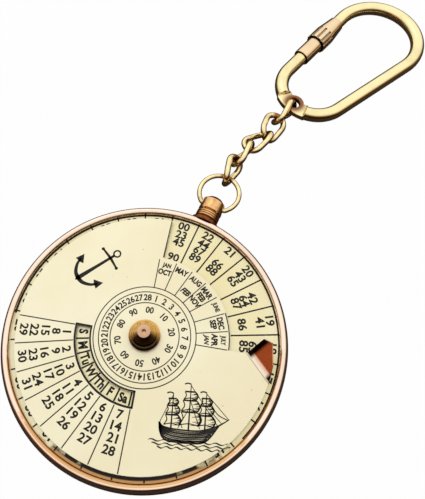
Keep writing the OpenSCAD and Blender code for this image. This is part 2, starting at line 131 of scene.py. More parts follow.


# Case ring.
# A turned copper ring that closes the case: a rounded crown, a thin lip round the dial and a plain
# skirt, darkened towards the table with painted shade.
def filleted(corners, steps=5):
    """A profile with rounded corners, each given as (x, y, radius)."""
    points = []
    for i, (x, y, r) in enumerate(corners):
        here = Vector((x, y))
        if r == 0:
            points.append((x, y))
            continue
        back = (Vector(corners[i - 1][:2]) - here).normalized()
        ahead = (Vector(corners[(i + 1) % len(corners)][:2]) - here).normalized()
        half = back.angle(ahead) / 2
        centre = here + (back + ahead).normalized() * (r / math.sin(half))
        start = here + back * (r / math.tan(half)) - centre
        end = here + ahead * (r / math.tan(half)) - centre
        for k in range(steps + 1):
            points.append(tuple(centre + start.lerp(end, k / steps).normalized() * r))
    return points


def arc_points(centre, radii, start, end, steps):
    """Points on a level arc, round or oval, between two angles in degrees."""
    turns = [math.radians(start + (end - start) * k / steps) for k in range(steps + 1)]
    return [Vector((centre[0] + radii[0] * math.cos(t), centre[1] + radii[1] * math.sin(t), 0))
            for t in turns]


def piece(name, verts, faces, material, body, slot, sharp_deg=38):
    """A mesh from points in mm, with outward normals, riding on a body."""
    mesh = bpy.data.meshes.new(name)
    mesh.from_pydata([Vector(v) * MM for v in verts], [], faces)
    bm = bmesh.new()
    bm.from_mesh(mesh)
    bmesh.ops.remove_doubles(bm, verts=bm.verts, dist=1e-8)
    bmesh.ops.recalc_face_normals(bm, faces=bm.faces)
    bm.to_mesh(mesh)
    bm.free()
    obj = bpy.data.objects.new(name, mesh)
    bpy.context.scene.collection.objects.link(obj)
    dress(obj, material, sharp_deg)
    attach(obj, body)
    return obj


def turned(profile, sides, place=Matrix.Identity(4), reach=None):
    """Points and faces of a (radius, height) profile turned about +Z and then placed.

    The profile is a loop, or runs from axis to axis. reach may change a radius by angle.
    """
    verts, rings, faces = [], [], []
    for r, h in profile:
        count = sides if r > 1e-6 else 1
        rings.append([len(verts) + k for k in range(count)])
        for k in range(count):
            turn = 2 * math.pi * k / sides
            far = reach(r, h, turn) if reach else r
            verts.append(place @ Vector((far * math.cos(turn), far * math.sin(turn), h)))
    pairs = list(zip(rings, rings[1:]))
    if profile[0][0] > 1e-6:
        pairs.append((rings[-1], rings[0]))
    for low, high in pairs:
        for k in range(sides):
            n = (k + 1) % sides
            loop = [low[k % len(low)], low[n % len(low)], high[n % len(high)], high[k % len(high)]]
            loop = list(dict.fromkeys(loop))
            if len(loop) > 2:
                faces.append(loop)
    return verts, faces


def mix_tone(material, share, code):
    """Mixes a painted shade, reflection or other tone into a metal's colour by the share a socket gives."""
    tree = material.node_tree
    shader = tree.nodes["Principled BSDF"]
    clean = shader.inputs["Base Color"].links[0].from_socket
    colour = add(tree, "Mix", {0: share, 6: clean, 7: srgb(code)}, data_type="RGBA")
    tree.links.new(colour.outputs[2], shader.inputs["Base Color"])


# the side away from the light, where painted shade and painted reflections go
SHADED_WAY = (0.36, -0.93, 0)


def paint_shaded_side(material, unpainted_r, painted_r, code, paint_from=18.1):
    """Colours a round metal piece with a painted shade or painted reflection on its side away from the
    light, from one radius in mm to another.

    The painted colour starts the given distance in mm from the middle towards that side. It is patchy,
    and wanders over 9 mm.
    """
    wander, fade = 9, 2.5
    tree = material.node_tree
    place = add(tree, "TexCoord", {}).outputs["Object"]
    level = add(tree, "VectorMath", {0: place, 1: (1, 1, 0)}, operation="MULTIPLY")
    out = add(tree, "VectorMath", {0: level}, operation="LENGTH")
    rim = add(tree, "MapRange",
              {"Value": out.outputs["Value"], "From Min": unpainted_r * MM, "From Max": painted_r * MM})
    low = add(tree, "VectorMath", {0: place, 1: SHADED_WAY}, operation="DOT_PRODUCT")
    patchy = add(tree, "TexNoise", {"Vector": place, "Scale": 1 / (1.6 * MM), "Detail": 3})
    low = add(tree, "Math",
              {0: patchy.outputs["Fac"], 1: wander * MM, 2: low.outputs["Value"]}, operation="MULTIPLY_ADD")
    shaded_side = add(tree, "MapRange",
                 {"Value": low,
                  "From Min": (paint_from + wander / 2) * MM,
                  "From Max": (paint_from + wander / 2 + fade) * MM})
    share = add(tree, "Math", {0: rim, 1: shaded_side}, operation="MULTIPLY")
    mix_tone(material, share.outputs[0], code)


LIP_R, LIP_UNDER, LIP_ROUND_W, LIP_ROUND_H, LIP_ROUND_Z = 23.4, 3.92, 0.65, 0.6, 4.35
CROWN_W, CROWN_DROP, WIDEST_Z, SKIRT_IN, RING_FOOT = 0.9, 2, 2.95, 24.6, 0.5
SKIRT_UNSHADED_Z, SKIRT_SHADED_Z = 4.2, 3.5
# Turned copper, nearly pink where it is polished, with painted shade that makes the skirt almost black
turned_copper = tarnished_shaded_metal("turned_copper", "#fde6d0", "#4a1d10", 0.16, 7, 0.3, (0.8, 0.8, 0.1), 0.15)
# painted reflection: tan and orange bands on the inside of the lip, on the side away from the light
paint_shaded_side(turned_copper, 24.15, 23.95, "#dcac78", 14)
paint_shaded_side(turned_copper, 23.75, 23.62, "#c98a4c", 3)
ring_tree = turned_copper.node_tree
ring_spot = add(ring_tree, "TexCoord", {})
ring_height = add(ring_tree, "SeparateXYZ", {"Vector": ring_spot.outputs["Object"]})
# painted shade: the skirt darkens to almost black from the crown down towards the table
skirt = add(ring_tree, "MapRange",
            {"Value": ring_height.outputs[2],
             "From Min": SKIRT_UNSHADED_Z * MM, "From Max": SKIRT_SHADED_Z * MM, "To Max": 0.9})
mix_tone(turned_copper, skirt.outputs[0], "#2a0f08")
crown = arc_points((LIP_R + LIP_ROUND_W, LIP_ROUND_Z), (LIP_ROUND_W, LIP_ROUND_H), 180, 90, 12)
crown += arc_points((CASE_R - CROWN_W, WIDEST_Z), (CROWN_W, CROWN_DROP), 90, 0, 20)
skirt_line = filleted([
    (CASE_R, WIDEST_Z, 0), (CASE_R, RING_FOOT, 0.12), (SKIRT_IN, RING_FOOT, 0.05), (SKIRT_IN, LIP_UNDER, 0),
])
bezel_profile = [(LIP_R, LIP_UNDER)] + [(p.x, p.y) for p in crown] + skirt_line[1:]
bezel = piece("case_ring", *turned(bezel_profile, 256), turned_copper, "case", "bezel_copper")
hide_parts("bezel_ring")


# Hidden pivot parts.
# Turned brass bits that hold the dial stack together: the bush under the year disc, the stud from
# the back, and the washers under and over the dial. Only the stud's head and washer edges show.
# Turned brass, plain and yellow, with fine tool rings
turned_brass = tarnished_shaded_metal("turned_brass", "#d8b062", "#4c3213", 0.28, 2, 0.6, (0.4, 0.4, 0.06))
for hidden in ("support_bush", "pivot_stud", "spacer_washer", "spring_washer"):
    dress(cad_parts[hidden], turned_brass)


# Year disc.
# The fixed disc of lacquered brass sheet that lies on the case's ledge. It is printed with a hundred
# years in 28 columns and with four rounds of weekdays, and shows through the dial's windows.
SECTOR = 360 / 28
LATTICE = 91.1
DISC_TOP = 3.9
# The finger tab's direction across the dial, its middle along it, its fold's height, and how far from
# the middle its painted reflection stays bright and then turns dark
TAB_WAY, TAB_MID, FOLD_H, TAB_LIT_REACH, TAB_DARK = (0.8625, -0.506, 0), 15.25, 0.75, 1.7, 2.3
# How metallic the sheet looks through its lacquer
LACQUERED = 0.6


def satin_sheet(name, pale, warm, speck, tab_from=None):
    """Lacquered brass sheet: pale, satin, faintly clouded, with a few specks, and painted shade on its cut
    edges.

    Above the height tab_from, in mm, the sheet is bare and polished by thumbs, and its colour is a
    painted reflection: a pale band along the fold, copper above it and nearly black ends.
    """
    material, tree, shader, place = new_material(name)
    cloud = add(tree, "TexNoise", {"Vector": place, "Scale": 1 / (14 * MM), "Detail": 3})
    clouded = add(tree, "MapRange", {"Value": cloud.outputs["Fac"], "From Min": 0.35, "From Max": 0.65})
    tint = add(tree, "Mix", {0: clouded, 6: srgb(pale), 7: srgb(warm)}, data_type="RGBA")
    dots = add(tree, "TexVoronoi", {"Vector": place, "Scale": 1 / (3.2 * MM), "Randomness": 1})
    dotted = add(tree, "MapRange",
                 {"Value": dots.outputs["Distance"], "From Min": 0.045, "From Max": 0.025, "To Max": 0.5})
    colour = add(tree, "Mix", {0: dotted, 6: tint.outputs[2], 7: srgb(speck)}, data_type="RGBA")
    grain = add(tree, "TexNoise", {"Vector": place, "Scale": 1 / (0.12 * MM), "Detail": 2})
    gloss = add(tree, "MapRange", {"Value": grain.outputs["Fac"], "To Min": 0.36, "To Max": 0.48})
    # painted shade: faces that do not face up, the cut edges, turn brown
    normal = add(tree, "NewGeometry", {}).outputs["True Normal"]
    facing = add(tree, "SeparateXYZ", {"Vector": normal})
    edge = add(tree, "MapRange", {"Value": facing.outputs[2], "From Min": 0.5, "From Max": 0.3})
    cut = add(tree, "Mix", {0: edge, 6: colour.outputs[2], 7: srgb("#4a3419")}, data_type="RGBA")
    shade, rough, bare_share = cut.outputs[2], gloss.outputs[0], None
    relief = add(tree, "Bump",
                 {"Height": grain.outputs["Fac"], "Strength": 0.12, "Distance": 0.003 * MM})
    if tab_from is not None:
        height = add(tree, "SeparateXYZ", {"Vector": place})
        bent = add(tree, "MapRange",
                   {"Value": height.outputs[2],
                    "From Min": tab_from * MM, "From Max": (tab_from + 0.12) * MM})
        fold = add(tree, "MapRange",
                   {"Value": height.outputs[2],
                    "From Min": tab_from * MM, "From Max": (tab_from + FOLD_H) * MM})
        # painted reflection: the bent tab is pale along its fold, copper above it and nearly black at its
        # ends
        along = add(tree, "VectorMath", {0: place, 1: TAB_WAY}, operation="DOT_PRODUCT")
        off = add(tree, "Math", {0: along.outputs["Value"], 1: -TAB_MID * MM}, operation="ADD")
        off = add(tree, "Math", {0: off}, operation="ABSOLUTE")
        end = add(tree, "MapRange",
                  {"Value": off, "From Min": TAB_LIT_REACH * MM, "From Max": TAB_DARK * MM})
        fold_reflection = add(tree, "Mix", {0: fold, 6: srgb("#f2ece0"), 7: srgb("#dc9c6c")}, data_type="RGBA")
        copper = add(tree, "Mix", {0: end, 6: fold_reflection.outputs[2], 7: srgb("#140b06")}, data_type="RGBA")
        bare = add(tree, "Mix", {0: bent, 6: shade, 7: copper.outputs[2]}, data_type="RGBA")
        polished = add(tree, "Mix", {0: bent, 2: rough, 3: 0.16}, data_type="FLOAT")
        shade, rough = bare.outputs[2], polished.outputs[0]
        bare_share = add(tree, "MapRange", {"Value": bent, "To Min": LACQUERED}).outputs[0]
        # the fold is rounded to the eye: its slope starts almost level and reaches the tab's own
        half = add(tree, "Math", {0: fold, 1: 0.5, 2: -1.0}, operation="MULTIPLY_ADD")
        back = add(tree, "Math", {0: half, 1: fold}, operation="MULTIPLY")
        relief = add(tree, "Bump",
                     {"Height": back, "Strength": 1.0, "Distance": 0.9 * MM,
                      "Normal": relief})
    tree.links.new(shade, shader.inputs["Base Color"])
    tree.links.new(rough, shader.inputs["Roughness"])
    tree.links.new(relief.outputs[0], shader.inputs["Normal"])
    shader.inputs["Metallic"].default_value = LACQUERED
    if bare_share is not None:
        tree.links.new(bare_share, shader.inputs["Metallic"])
    return material


def baked_ink(name, black, worn):
    """Black printing ink, baked on: a thin matt film, browner where it is thin."""
    material, tree, shader, place = new_material(name)
    thin = add(tree, "TexNoise",
               {"Vector": place, "Scale": 1 / (0.6 * MM), "Detail": 4, "Roughness": 0.7})
    spread = add(tree, "MapRange", {"Value": thin.outputs["Fac"], "From Min": 0.45, "From Max": 0.8})
    colour = add(tree, "Mix", {0: spread, 6: srgb(black), 7: srgb(worn)}, data_type="RGBA")
    gloss = add(tree, "MapRange", {"Value": thin.outputs["Fac"], "To Min": 0.4, "To Max": 0.65})
    tree.links.new(colour.outputs[2], shader.inputs["Base Color"])
    tree.links.new(gloss.outputs[0], shader.inputs["Roughness"])
    shader.inputs["Specular IOR Level"].default_value = 0.3
    return material


class Print:
    """Printed marks on a flat face, each a thin film of ink, gathered into one mesh."""

    film, sunk = 0.014, 0.004
    glyphs = {}

    def __init__(self, level):
        self.low, self.high = level - self.sunk, level + self.film - self.sunk
        self.verts, self.faces = [], []

    def ribbon(self, points, width, closed=False):
        """A line of one width, or of a width for each point."""
        count = len(points)
        widths = width if isinstance(width, (list, tuple)) else [width] * count
        start = len(self.verts)
        for i, (x, y) in enumerate(points):
            before = Vector(points[i - 1] if i or closed else points[i])
            after = Vector(points[(i + 1) % count] if i < count - 1 or closed else points[i])
            way = (after - before).normalized()
            side = Vector((-way.y, way.x)) * widths[i] / 2
            for offset in (side, -side):
                for z in (self.low, self.high):
                    self.verts.append((x + offset.x, y + offset.y, z))
        # of each point's four: left low, left high, right low, right high
        for i in range(count if closed else count - 1):
            a, b = start + 4 * i, start + 4 * ((i + 1) % count)
            self.faces += [(a + 1, a + 3, b + 3, b + 1), (a, b, b + 2, a + 2),
                           (a, a + 1, b + 1, b), (a + 2, b + 2, b + 3, a + 3)]
        if not closed:
            a, b = start, start + 4 * (count - 1)
            self.faces += [(a, a + 2, a + 3, a + 1), (b, b + 1, b + 3, b + 2)]

    def arc(self, r, start, end, width):
        """A line round the dial's axis, between two angles in degrees."""
        closed = abs(end - start) >= 360
        steps = max(6, int(abs(end - start) / 2.5))
        turns = [math.radians(start + (end - start) * k / steps) for k in range(steps + (not closed))]
        self.ribbon([(r * math.cos(t), r * math.sin(t)) for t in turns], width, closed)

    def spoke(self, turn, r_in, r_out, width):
        """A line straight out from the dial's axis."""
        t = math.radians(turn)
        self.ribbon([(r * math.cos(t), r * math.sin(t)) for r in (r_in, r_out)], width)

    def patch(self, outline):
        """A filled outline."""
        start, count = len(self.verts), len(outline)
        self.verts += [(x, y, self.low) for x, y in outline] + [(x, y, self.high) for x, y in outline]
        self.faces.append(tuple(start + count + k for k in range(count)))
        self.faces.append(tuple(start + k for k in reversed(range(count))))
        for k in range(count):
            n = (k + 1) % count
            self.faces.append((start + k, start + n, start + count + n, start + count + k))

    def word(self, text, r, turn, tall, inward=False, squeeze=0.92, slant=0.0, bold=0.03):
        """Figures or letters centred at a radius and angle, with their tops outward or inward."""
        key = (text, slant, bold)
        if key not in self.glyphs:
            curve = bpy.data.curves.new("glyph", "FONT")
            curve.body, curve.size, curve.shear, curve.offset = text, 1, slant, bold
            curve.extrude, curve.resolution_u = 0.05, 3
            letter = bpy.data.objects.new("glyph", curve)
            bpy.context.scene.collection.objects.link(letter)
            bpy.context.view_layer.update()
            shaped = letter.evaluated_get(bpy.context.evaluated_depsgraph_get())
            mesh = bpy.data.meshes.new_from_object(shaped)
            bm = bmesh.new()
            bm.from_mesh(mesh)
            bmesh.ops.remove_doubles(bm, verts=bm.verts, dist=1e-5)
            bm.verts.index_update()
            outlines = [[v.index for v in f.verts] for f in bm.faces]
            self.glyphs[key] = ([v.co.copy() for v in bm.verts], outlines)
            bm.free()
            bpy.data.meshes.remove(mesh)
            bpy.data.objects.remove(letter)
            bpy.data.curves.remove(curve)
        points, loops = self.glyphs[key]
        xs, ys = [p.x for p in points], [p.y for p in points]
        middle = Vector(((min(xs) + max(xs)) / 2, (min(ys) + max(ys)) / 2))
        scale = tall / (max(ys) - min(ys))
        t = math.radians(turn)
        out = Vector((math.cos(t), math.sin(t)))
        up = -out if inward else out
        right = Vector((up.y, -up.x))
        start = len(self.verts)
        for p in points:
            flat = out * r + right * ((p.x - middle.x) * scale * squeeze) + up * ((p.y - middle.y) * scale)
            self.verts.append((flat.x, flat.y, self.high if p.z > 0 else self.low))
        self.faces += [[start + k for k in loop] for loop in loops]


# Lacquered brass: the lacquer makes the metal pale, satin and a little yellow
lacquered_sheet = satin_sheet("lacquered_brass_sheet", "#f8f0c9", "#f2e6b4", "#b99a5e")
black_ink = baked_ink("baked_black_ink", "#14100b", "#2d2418")
# painted shadow: black in the gap beyond the dial's edge on the side away from the light; painted
# reflection: orange under the ring's lip on that side
paint_shaded_side(lacquered_sheet, 22.35, 22.45, "#1c0e06")
paint_shaded_side(lacquered_sheet, 22.9, 23.1, "#cf9f66")
dress(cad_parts["year_disc"], lacquered_sheet)
years = Print(DISC_TOP)
YEAR_ROWS = (22.15, 20.4, 18.8, 17.2, 15.7)
YEARS_IN, YEARS_OUT, DAYS_IN, DAYS_OUT, DAYS_ROW = 14.95, 23.3, 9.3, 12.1, 10.74
for year in range(100):
    cell = year + year // 4
    middle = LATTICE + (cell % 28 + 0.5) * SECTOR
    years.word(f"{year:02d}", YEAR_ROWS[cell // 28], middle, 1.6, squeeze=1.05)
WEEKDAYS = ("S", "M", "Tu", "W", "Th", "F", "Sa")
for column in range(28):
    line = LATTICE + column * SECTOR
    years.spoke(line, YEARS_IN, YEARS_OUT, 0.27)
    years.spoke(line, DAYS_IN, DAYS_OUT, 0.3)
    day = WEEKDAYS[(column - 8) % 7]
    years.word(day, DAYS_ROW, line + SECTOR / 2, 1.65, inward=True, squeeze=0.82, bold=0.045)
years.arc(YEARS_OUT, -20, 195, 0.28)
piece("year_print", years.verts, years.faces, black_ink, "case", "printed_brass")


# Calendar dial.
# The turning dial, cut from the same lacquered sheet, with a window over the years, a window over
# the weekdays and a finger tab bent up from its edge. Months, dates and two old sea emblems are
# printed on it; the middle rings hold plain numbers.
DIAL_TOP = 4.63
MONTH_EDGE, MONTHS_IN, MONTHS_OUT = 106.05, 8.91, 14.45
dial_sheet = satin_sheet("lacquered_dial_sheet", "#f9f2d3", "#f4eac5", "#a8874e", tab_from=DIAL_TOP + 0.1)
dress(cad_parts["calendar_dial"], dial_sheet, 20)
dial = Print(DIAL_TOP)
for radius, width in ((5.98, 0.17), (7.98, 0.17), (MONTHS_IN, 0.18)):
    dial.arc(radius, 0, 360, width)
for number in range(28):
    dial.word(str(number + 1), 6.96, MONTH_EDGE - (number + 0.5) * SECTOR, 1.2)
for decade in range(10):
    dial.word(f"{decade}0", 4.7, 106 - decade * 36, 1.2)
MONTHS = (
    (("JAN", 13.4, 0), ("OCT", 12.15, 0)),
    (("MAY", 13.4, 0),),
    (("AUG", 13.4, 0), ("FEB", 10.7, 0.3)),
    (("MAR", 13.4, 0), ("FEB", 12.1, 0), ("NOV", 10.7, 0)),
    (("JUNE", 13.4, 0),),
    (("DEC", 13.4, 0), ("SEP", 12.1, 0)),
    (("JULY", 13.5, 0), ("APR", 12.1, 0), ("JAN", 10.6, 0.3)),
)
for column, names in enumerate(MONTHS):
    dial.spoke(MONTH_EDGE - column * SECTOR, MONTHS_IN, MONTHS_OUT, 0.17)
    for month, radius, slant in names:
        squeeze = 0.68 if len(month) > 3 else 0.8
        dial.word(month, radius, MONTH_EDGE - (column + 0.5) * SECTOR, 1.12,
                  squeeze=squeeze, slant=slant, bold=0.05)
dial.spoke(MONTH_EDGE - 90, MONTHS_IN, MONTHS_OUT, 0.17)
dial.arc(14.66, MONTH_EDGE - 90, MONTH_EDGE - 64, 0.2)
PRINT_OUT = 22.3
dial.spoke(MONTH_EDGE - 2.25, 14.9, PRINT_OUT, 0.16)
DATE_EDGE = MONTH_EDGE + 90
DATE_ROWS = (13.5, 15.35, 17.25, 19.2, 21.05)
for column in range(8):
    dial.spoke(DATE_EDGE + column * SECTOR, 12.35, PRINT_OUT, 0.2)
for date in range(31):
    middle = DATE_EDGE + (date % 7 + 0.5) * SECTOR
    dial.word(str(date + 1), DATE_ROWS[date // 7], middle, 1.52, inward=True, squeeze=1.08)
for radius, width in ((9.42, 0.3), (12.1, 0.36)):
    dial.arc(radius, DATE_EDGE - 1.2, DATE_EDGE + 91.2, width)
for turn in (DATE_EDGE - 0.9, DATE_EDGE + 90.9):
    dial.spoke(turn, 9.3, 12.25, 0.34)


def placed(points, origin, up_deg, scale=1.0):
    """Points drawn upright, moved to their place on the dial with their upward side turned."""
    t = math.radians(up_deg - 90)
    c, s = math.cos(t) * scale, math.sin(t) * scale
    return [(origin[0] + x * c - y * s, origin[1] + x * s + y * c) for x, y in points]


def curve_through(points, steps=6):
    """A smooth line through a few points."""
    ends = [points[0]] + list(points) + [points[-1]]
    line = []
    for p, q, r, s in zip(ends, ends[1:], ends[2:], ends[3:]):
        for k in range(steps):
            t = k / steps
            line.append(tuple(
                0.5 * (2 * b + (c - a) * t + (2 * a - 5 * b + 4 * c - d) * t * t
                       + (3 * b - a - 3 * c + d) * t ** 3)
                for a, b, c, d in zip(p, q, r, s)))
    return line + [tuple(points[-1])]


# A plain stocked anchor, drawn upright from its crown and laid across its quarter of the dial
ANCHOR = ((-15.75, 4.1), 59.5)
ring_turns = [2 * math.pi * k / 24 for k in range(24)]
anchor_ring = [(0.62 * math.cos(t), 8.45 + 0.62 * math.sin(t)) for t in ring_turns]
dial.ribbon(placed(anchor_ring, *ANCHOR), 0.3, True)
dial.ribbon(placed([(0, 0.1), (0, 4), (0, 7.9)], *ANCHOR), [0.85, 0.6, 0.48])
dial.ribbon(placed([(-2.25, 6.85), (0, 7.0), (2.25, 6.85)], *ANCHOR), [0.34, 0.52, 0.34])
for ball_x in (-2.3, 2.3):
    ball = [(ball_x + 0.3 * math.cos(t), 6.84 + 0.3 * math.sin(t)) for t in ring_turns]
    dial.patch(placed(ball, *ANCHOR))
for hand in (-1, 1):
    arm = curve_through([(0, 0.15), (1.2 * hand, 0.4), (2.35 * hand, 1.35), (2.95 * hand, 2.5)])
    dial.ribbon(placed(arm, *ANCHOR), [0.8 - 0.42 * k / (len(arm) - 1) for k in range(len(arm))])
    fluke = [(3.35 * hand, 3.45), (1.85 * hand, 2.35), (2.45 * hand, 2.0), (3.55 * hand, 1.75)]
    dial.patch(placed(fluke[::hand], *ANCHOR))
dial.patch(placed([(-0.62, 0.35), (0, -0.5), (0.62, 0.35)], *ANCHOR))

# A plain square-rigged ship under sail, drawn upright from the middle of its waterline
SHIP = ((13.6, -11.4), 112, 1.02)
LINE_WEIGHT = 1.4


def ship_line(points, width):
    """A line of the ship, drawn upright, of one width or of a width for each point."""
    widths = width if isinstance(width, list) else [width] * len(points)
    dial.ribbon(placed(points, *SHIP), [w * LINE_WEIGHT for w in widths])


hull_deck = curve_through([(-4.6, 1.75), (-3.9, 1.05), (-1.5, 0.72), (2.0, 0.75), (4.9, 1.65)])
hull_keel = curve_through(
    [(-4.6, 1.75), (-4.35, 0.2), (-3.3, -0.95), (0.2, -1.2), (2.9, -0.8), (4.9, 1.65)])
ship_line(hull_deck, 0.2)
ship_line(hull_keel, 0.2)
for strake in range(1, 7):
    share = strake / 7
    plank = [(a[0] + (b[0] - a[0]) * share, a[1] + (b[1] - a[1]) * share)
             for a, b in zip(hull_deck[::2], hull_keel[::2][:len(hull_deck[::2])])]
    ship_line(curve_through(plank, 2), 0.13 if strake % 2 else 0.22)
ship_line([(4.6, 1.5), (6.6, 2.75)], [0.22, 0.1])
MASTS = ((-2.7, 0.8, 6.3), (0.1, 0.7, 7.9), (2.7, 0.8, 6.7))
SAILS = ((2.45, 2.5), (2.0, 2.1), (1.5, 1.6))
for x, heel, top in MASTS:
    ship_line([(x, heel), (x + 0.1, top)], [0.2, 0.1])
    ship_line(curve_through([(x + 0.1, top), (x - 0.45, top + 0.14), (x - 0.95, top - 0.02)]), 0.16)
    rig = (top - heel) / 7.2
    low = heel + 0.75 * rig
    for tall, wide in SAILS:
        tall, wide = tall * rig * 0.92, wide * rig * 0.62
        high = low + tall * 0.9
        halfway = (low + high) / 2
        left = curve_through([(x - wide, low), (x - wide * 0.62, halfway), (x - wide * 0.84, high)])
        right = curve_through([(x + wide * 1.05, low), (x + wide * 1.3, halfway), (x + wide * 0.86, high)])
        foot_line = curve_through([(x - wide, low), (x, low + 0.26), (x + wide * 1.05, low)])
        for edge, width in ((left, 0.13), (right, 0.17), (foot_line, 0.12), ([left[-1], right[-1]], 0.2)):
            ship_line(edge, width)
        for fold in range(1, 7):
            a = right[len(right) * fold // 8]
            reach = wide * (0.9 if fold % 2 else 0.5)
            ship_line([a, (a[0] - reach, a[1] - 0.1)], [0.12, 0.05])
        low = high + 0.16
STAYS = (
    ((2.8, 6.5), (6.5, 2.7)), ((0.2, 7.7), (4.7, 1.7)), ((-2.6, 6.1), (-4.5, 1.8)),
    ((-0.9, 1.0), (-2.6, 5.0)), ((1.9, 1.0), (0.15, 5.4)), ((2.8, 4.6), (5.4, 2.0)),
    ((-1.6, 0.9), (0.1, 4.2)),
)
for stay in STAYS:
    ship_line(stay, 0.09)
ship_line(curve_through([(6.3, 2.65), (4.6, 3.5), (3.2, 5.6)]), 0.12)
for row, (from_x, to_x, y) in enumerate(((-6.2, 6.4, -1.05), (-5.6, 6.9, -1.55), (-4.7, 5.2, -2.05))):
    wave = [(from_x + (to_x - from_x) * k / 30, y + 0.16 * math.sin(k * 1.3 + row)) for k in range(31)]
    ship_line(wave, [0.05 + 0.13 * abs(math.sin(k * 0.65 + row * 0.5)) for k in range(31)])
piece("dial_print", dial.verts, dial.faces, black_ink, "dial", "printed_brass")


# Pivot knob.
# A small turned knob of darkened copper, screwed on the stud over the dial: a foot, a bead and a
# cone, with a small hole left by the lathe's centre in its flat top.
KNOB_Z, KNOB_R = 4.93, 2.75
TOP_FROM, TOP_WHOLE, KNOB_SHADE_WAY = 7.6, 7.75, (0.47, -0.88, 0)
# Darkened copper: orange on the light side, paler on its flat top, and painted shade that makes the other
# side almost black
knob_copper = tarnished_shaded_metal(
    "darkened_copper", "#fac878", "#7a421a", 0.22, 1.6, 0.5, (0.35, 0.35, 0.3), 0.12, 0.6)
knob_tree = knob_copper.node_tree
knob_spot = add(knob_tree, "TexCoord", {})
knob_height = add(knob_tree, "SeparateXYZ", {"Vector": knob_spot.outputs["Object"]})
on_top = add(knob_tree, "MapRange",
             {"Value": knob_height.outputs[2], "From Min": TOP_FROM * MM, "From Max": TOP_WHOLE * MM})
mix_tone(knob_copper, on_top.outputs[0], "#e6b897")
# painted shade: the side of the knob away from the light, found by its normal, darkens almost to black
away = add(knob_tree, "VectorMath",
           {0: knob_spot.outputs["Normal"], 1: KNOB_SHADE_WAY}, operation="DOT_PRODUCT")
knob_shaded_side = add(knob_tree, "MapRange",
               {"Value": away.outputs["Value"], "From Min": -0.12, "From Max": 0.4, "To Max": 0.95})
mix_tone(knob_copper, knob_shaded_side.outputs[0], "#220e06")
knob_profile = filleted([
    (0, 0, 0), (KNOB_R, 0, 0.06), (KNOB_R, 0.41, 0.16), (2.42, 0.65, 0.1), (2.3, 1.3, 0.3),
    (2.02, 1.62, 0.12), (1.12, 2.88, 0.1), (0.36, 2.9, 0.02), (0.3, 2.5, 0.05), (0, 2.4, 0),
])
knob = piece("knob", *turned(knob_profile, 96, Matrix.Translation((0, 0, KNOB_Z))), knob_copper,
             "case", "knob_copper")
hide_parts("pivot_knob")


# Pendant.
# A turned copper neck soldered to the case through a flared collar, coloured dark as painted shade:
# three beads, a groove, a barrel with a cross bore for the bow, and a bevelled, domed tip.
NECK_Z, NECK_R, NECK_L = 2.7, 2.3, 5.6
neck_place = Matrix.Translation((0, CASE_R, NECK_Z)) @ Matrix.Rotation(math.radians(-90), 4, "X")
COLLAR_IN, COLLAR_R, COLLAR_T, COLLAR_DEEP, SPIGOT_R, SPIGOT_L = 1.12, 2.65, 0.6, 0.48, 1.1, 1.2
BEAD_W, BEAD_H = 0.42, 0.21
# Copper coloured dark brown as painted shade where the collar sits against the case: dull, dark and blotchy
collar_shade_copper = tarnished_shaded_metal(
    "shade_darkened_copper", "#8a4d2a", "#1d0c06", 0.34, 0.9, 0.8, (0.2, 0.2, 0.2), 0.8)
# Copper straight from the lathe: warm and glossy, with rings round it and painted shade browning its
# grooves
neck_copper = tarnished_shaded_metal(
    "lathe_cut_copper", "#f0bd80", "#6b3218", 0.18, 1.5, 0.35, (0.3, 0.09, 0.3), 0.5)
collar_foot = [(COLLAR_IN + 0.153 * k, -COLLAR_DEEP, 0) for k in range(11)]
collar_verts, collar_faces = turned(filleted(
    collar_foot + [(COLLAR_R, 0.06, 0.06), (2.09, 0.59, 0.1), (COLLAR_IN, COLLAR_T, 0)]), 72)
for i, v in enumerate(collar_verts):
    above = min(max(NECK_Z - v.y - WIDEST_Z, 0) / 2, 1)
    ring_r = CASE_R + 0.02 - CROWN_W * (1 - math.sqrt(1 - above ** 2))
    seat = math.sqrt(ring_r ** 2 - v.x ** 2) - CASE_R
    collar_verts[i] = neck_place @ Vector((v.x, v.y, max(v.z, seat)))
collar = piece("collar", collar_verts, collar_faces, collar_shade_copper, "case", "dark_copper")
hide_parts("neck_collar")
bead_line = []
for bead in range(3):
    for k in range(9):
        t = math.pi * k / 8
        along_bead = COLLAR_T + BEAD_W * (bead + 0.5 - 0.5 * math.cos(t))
        bead_line.append((NECK_R - BEAD_H + BEAD_H * math.sin(t), along_bead))
TIP_R, DOME_H = NECK_R * 0.62, 0.38
barrel = filleted([
    bead_line[-1] + (0,), (NECK_R - BEAD_W, 1.86, 0.04), (NECK_R, 2.28, 0.12), (NECK_R, 4.43, 0.16),
    (TIP_R, NECK_L - DOME_H, 0.05), (0, NECK_L, 0),
])[1:-1]
neck_dome = [(TIP_R * (1 - k / 8), NECK_L - DOME_H * (1 - k / 8) ** 2) for k in range(1, 9)]
spigot = [(0, -SPIGOT_L), (SPIGOT_R, -SPIGOT_L), (SPIGOT_R, COLLAR_T)]
neck_profile = spigot + bead_line + barrel + neck_dome
neck = piece("neck", *turned(neck_profile, 96, neck_place), neck_copper, "case", "neck_copper")


